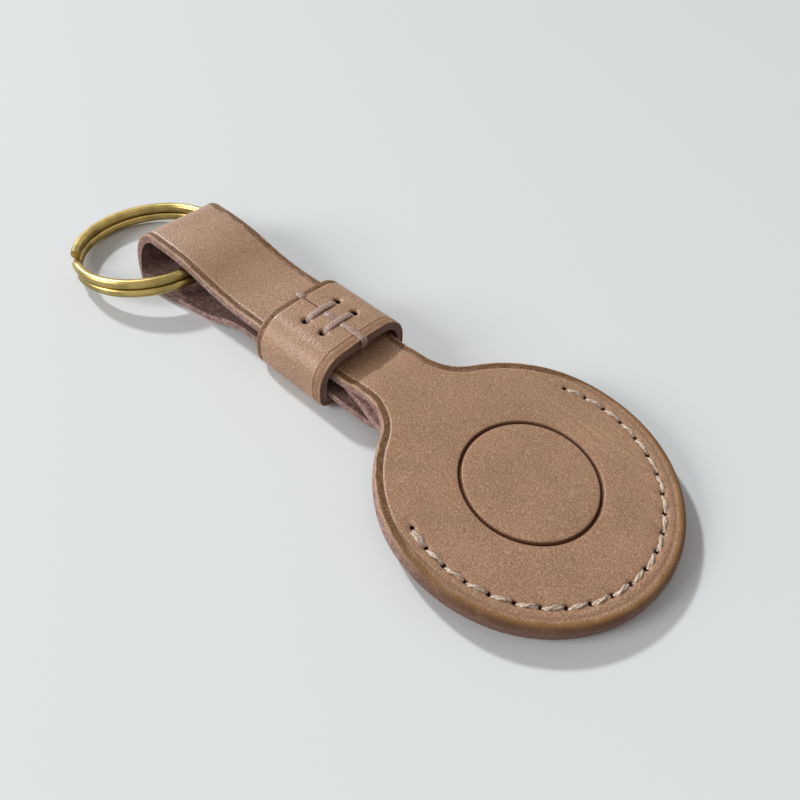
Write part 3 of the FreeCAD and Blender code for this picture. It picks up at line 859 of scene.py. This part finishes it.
# Keeper lacing. A flat waxed thread that closes the keeper: it wraps one edge at the butted ends,
# crosses them twice through the holes and wraps the other edge.
lace_half_width = 0.68
lace_half_thick = 0.22
lace_lining = 0.2
lace_inside = 0.35
far, near = keeper_low.x, keeper_high.x
first_row, last_row = lace_rows
far_edge = far - lace_half_thick
near_edge = near + lace_half_thick
top = keeper_high.z + keeper_crown
over = top + lace_half_thick / 2
under = keeper_high.z - leather + lace_lining
lace_dip = lace_half - lace_inside
lace_runs = [[(far + 2.2, 0, top - 0.7), (far + 1.7, 0, over - 0.1), (far + 0.4, 0, over),
              (far_edge, 0, over - 0.3), (far_edge, 0, under + 0.5), (far + 0.7, 0, under)],
             [(first_row + 0.3, 0, top - 0.4), (first_row + 1.2, 0, top), (last_row - 1.2, 0, top),
              (last_row - 0.3, 0, top - 0.4)],
             [(last_row + 0.2, 0, over - 0.4), (last_row + 0.9, 0, over), (near - 0.5, 0, over),
              (near_edge, 0, over - 0.3), (near_edge, 0, under + 0.5), (near - 0.7, 0, under)],
             [(far + 0.7, 0, under), (first_row, -lace_dip, under)],
             [(first_row, lace_dip, under), (last_row, -lace_dip, under)],
             [(last_row, lace_dip, under), (near - 0.7, 0, under)]]
for row in lace_rows:
    half_run = [(row, lace_half + 0.3, under), (row, lace_dip, under + 0.3), (row, lace_dip, top - 0.8),
                (row, lace_dip - 0.5, over - 0.15), (row, 1.0, over + 0.1)]
    lace_runs.append([(x, -y, z) for x, y, z in half_run] + half_run[::-1])
bpy.ops.curve.primitive_bezier_circle_add(radius=mm)
lace_section = bpy.context.object
lace_section.scale = (lace_half_width, lace_half_thick, 1)
bpy.ops.object.transform_apply(location=True, rotation=True, scale=True)
bpy.ops.object.select_all(action="DESELECT")
cord = new_cord("keeper_lacing_thread")
cord.bevel_mode = "OBJECT"
cord.bevel_object = lace_section
for run in lace_runs:
    spline = lay(cord, "NURBS", run)
    spline.order_u = 3
    spline.resolution_u = 8
lacing = piece_of(cord)
bpy.data.objects.remove(lace_section)
bpy.ops.object.shade_smooth_by_angle(angle=sharp_angle)
bpy.ops.object.select_all(action="DESELECT")

# Waxed lacing: the same linen left grey brown by its wax, pressed flat, its fibres drawn coarser
# than they are.
lace = waxed_linen("waxed_flat_lacing", "#7b6156", "#ac9083", fibre_size=0.4, fibre_relief=0.06)
lacing.data.materials.append(lace)
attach(lacing, "keeper")
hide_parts("keeper_lacing")

# Split ring. Hard brass wire with slightly flattened sides, wound in two flat turns with a short
# step between them and tumbled to a satin finish. It passes through the fold of the strap and is
# free to turn in it.
ring_joint = [joint for joint in frame["joints"] if joint["name"] == "ring_turn"][0]
ring_centre = Vector(ring_joint["pos_m"]) / mm
ring_axis = Vector(ring_joint["axis"])
ring_radius = 15.0
wire_radius = 0.92
wire_flat = 1.3
turn_pitch = 1.9
step_turn = math.radians(16.0)
step_place = math.radians(68.0)
end_gap = math.radians(3.5)
wire_start = step_turn / 2 + end_gap
wire_steps = 240
wire_sharp_angle = math.radians(40)
lean = Vector((0, 0, 1)).rotation_difference(ring_axis).to_matrix()
bpy.ops.curve.primitive_bezier_circle_add(radius=wire_radius * mm)
wire_section = bpy.context.object
for corner in wire_section.data.splines[0].bezier_points:
    corner.handle_left_type = "FREE"
    corner.handle_right_type = "FREE"
    corner.handle_left = corner.co + (corner.handle_left - corner.co) * wire_flat
    corner.handle_right = corner.co + (corner.handle_right - corner.co) * wire_flat
wire_section.data.resolution_u = 7
bpy.ops.object.select_all(action="DESELECT")
wire = new_cord("split_ring_wire")
wire.bevel_mode = "OBJECT"
wire.bevel_object = wire_section
places = []
for step in range(wire_steps + 1):
    turn = wire_start + (4 * math.pi - 2 * wire_start) * step / wire_steps
    share = min(1.0, max(0.0, (turn - 2 * math.pi) / step_turn + 0.5))
    level = turn_pitch * (share * share * (3 - 2 * share) - 0.5)
    way = turn + step_place
    place = Vector((-math.cos(way) * ring_radius, -math.sin(way) * ring_radius, level))
    places.append(ring_centre + lean @ place)
lay(wire, "POLY", places)
ring = piece_of(wire)
bpy.data.objects.remove(wire_section)
bpy.ops.object.shade_smooth_by_angle(angle=wire_sharp_angle)
bpy.ops.object.select_all(action="DESELECT")

# Satin brass: pale golden olive, softly mirrored, with a slight tarnish and fine scuffs, which are
# drawn coarser than they are.
tarnish_size = 4.0
scuff_size = 0.5
scuff_relief = 0.05
brass, tree, shader = new_finish("satin_brass_wire")
shader.inputs["Metallic"].default_value = 1.0
spot = add(tree, "ShaderNodeTexCoord", output="Object")
tarnish = add(tree, "ShaderNodeTexNoise", {},
              {"Vector": spot, "Scale": 1 / (tarnish_size * mm), "Detail": 5.0})
dull = add(tree, "ShaderNodeMapRange", smooth, {0: tarnish, 1: 0.35, 2: 0.65})
colour = add(tree, "ShaderNodeMix", colours, {0: dull, 6: paint("#bda667"), 7: paint("#96844f")}, 2)
tree.links.new(colour, shader.inputs["Base Color"])
scuffs = add(tree, "ShaderNodeTexNoise", {}, {"Vector": spot, "Scale": 1 / (scuff_size * mm), "Detail": 3.0})
satin = add(tree, "ShaderNodeMapRange", {}, {0: scuffs, 3: 0.2, 4: 0.42})
tree.links.new(satin, shader.inputs["Roughness"])
relief = add(tree, "ShaderNodeBump", {}, {"Strength": 0.15, "Distance": scuff_relief * mm, "Height": scuffs})
tree.links.new(relief, shader.inputs["Normal"])
ring.data.materials.append(brass)
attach(ring, "key_ring")
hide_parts("split_ring")

# Table. A plain matt sheet in a pale grey that the holder lies on. It belongs to the picture and
# not to the holder, and lies a hair below it.
table_side = 1600.0
table_gap = 0.03
bpy.ops.mesh.primitive_plane_add(size=table_side * mm, location=(0, 0, -table_gap * mm))
table = bpy.context.object
table.name = "table_top"
sheet, _, shader = new_finish("matt_pale_table")
shader.inputs["Base Color"].default_value = paint("#dfe2e4")
shader.inputs["Roughness"].default_value = 0.9
shader.inputs["Specular IOR Level"].default_value = 0.1
table.data.materials.append(sheet)

# Light and camera. Window light from the left, a weaker soft light low in front, the room's own
# pale light round them, and the photograph's view down on to the keeper.
sun_from = Vector((-1.4, 0.15, 1.0))
soft_from = Vector((-0.43, -0.74, 0.43)).normalized()
soft_distance = 1200.0
soft_side = 500.0
room_strength = 0.36
room_seen_strength = 0.9
bpy.ops.object.light_add(type="SUN")
sun = bpy.context.object
sun.name = "window_light"
sun.rotation_euler = sun_from.to_track_quat("Z", "Y").to_euler()
sun.data.energy = 2.15
sun.data.angle = math.radians(5.0)
sun.data.color = (0.97, 1.0, 1.0)
bpy.ops.object.light_add(type="AREA")
soft = bpy.context.object
soft.name = "front_light"
soft.location = soft_from * soft_distance * mm
soft.rotation_euler = soft_from.to_track_quat("Z", "Y").to_euler()
soft.data.size = soft_side * mm
soft.data.energy = 8.5
world = bpy.data.worlds.new("room_light")
world.use_nodes = True
tree = world.node_tree
larger = {"operation": "MAXIMUM"}
seen = add(tree, "ShaderNodeLightPath", output="Is Camera Ray")
rays = seen.node.outputs
seen = add(tree, "ShaderNodeMath", larger, {0: rays["Is Glossy Ray"], 1: seen})
seen = add(tree, "ShaderNodeMath", larger, {0: rays["Is Transmission Ray"], 1: seen})
strength = add(tree, "ShaderNodeMix", {}, {0: seen, 2: room_strength, 3: room_seen_strength})
tree.nodes["Background"].inputs["Color"].default_value = paint("#faf6f3")
tree.links.new(strength, tree.nodes["Background"].inputs["Strength"])
bpy.context.scene.world = world

view_target = Vector((14.7, -0.66, 3.0))
view_azimuth = math.radians(39.74)
view_elevation = math.radians(47.47)
view_roll = math.radians(3.98)
view_distance = 131.4
near_clip = 10.0
turn = (Matrix.Rotation(view_azimuth, 4, "Z") @ Matrix.Rotation(math.pi / 2 - view_elevation, 4, "X")
        @ Matrix.Rotation(view_roll, 4, "Z"))
back = turn.to_3x3() @ Vector((0, 0, 1))
bpy.ops.object.camera_add()
camera = bpy.context.object
camera.matrix_world = Matrix.Translation((view_target + back * view_distance) * mm) @ turn
camera.data.lens = 33.57
camera.data.clip_start = near_clip * mm
bpy.context.scene.camera = camera
bpy.context.scene.view_settings.view_transform = "Standard"
